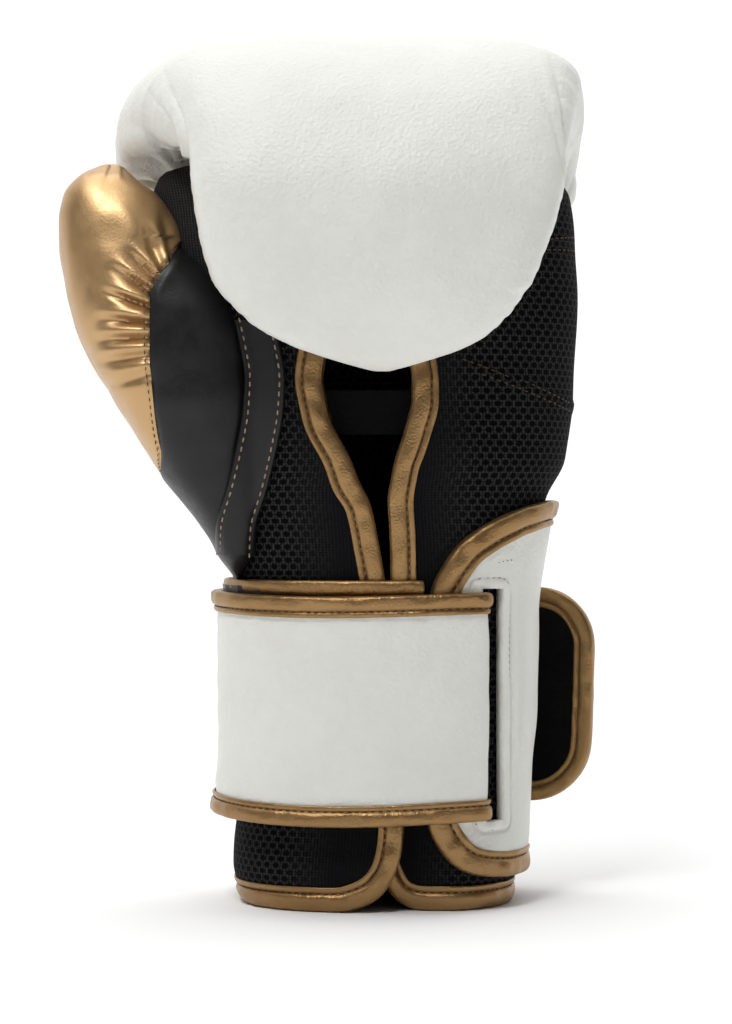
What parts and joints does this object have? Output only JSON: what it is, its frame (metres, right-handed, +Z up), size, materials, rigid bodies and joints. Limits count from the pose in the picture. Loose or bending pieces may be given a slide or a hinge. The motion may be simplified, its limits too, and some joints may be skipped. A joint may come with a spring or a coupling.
{
  "type": "boxing glove",
  "caption": "Left-hand training boxing glove with padded fist, hollow thumb, split mesh palm and hook-and-loop wrist strap, standing on its cuff.",
  "frame": {"origin": "middle of the glove's bounding box, on the floor below the cuff's rim", "axes": "+Z up from the cuff to the knuckles, +Y from the palm to the back of the hand, +X to the little finger's side"},
  "size_m": [0.1858, 0.1396, 0.2928],
  "materials": {
    "white_leather": "white pebbled leather, semi-matt",
    "gold_leather": "metallic bronze-gold foiled leather, satin",
    "black_leather": "smooth black leather, soft sheen",
    "air_mesh": "black knitted spacer mesh, matt",
    "thread": "sewing thread, matt"
  },
  "bodies": {
    "root": {"fist_pad": "white_leather", "palm_shell": "air_mesh", "edge_binding": "gold_leather", "palm_binding": "gold_leather", "grip_strap": "black_leather", "thumb_outer": "gold_leather", "thumb_inner": "black_leather", "thumb_strip": "black_leather", "under_strap": "black_leather", "under_strap_binding": "gold_leather", "side_panel": "white_leather", "side_panel_binding": "gold_leather", "wrist_strap": "white_leather", "wrist_strap_binding": "gold_leather"}
  },
  "joints": []
}
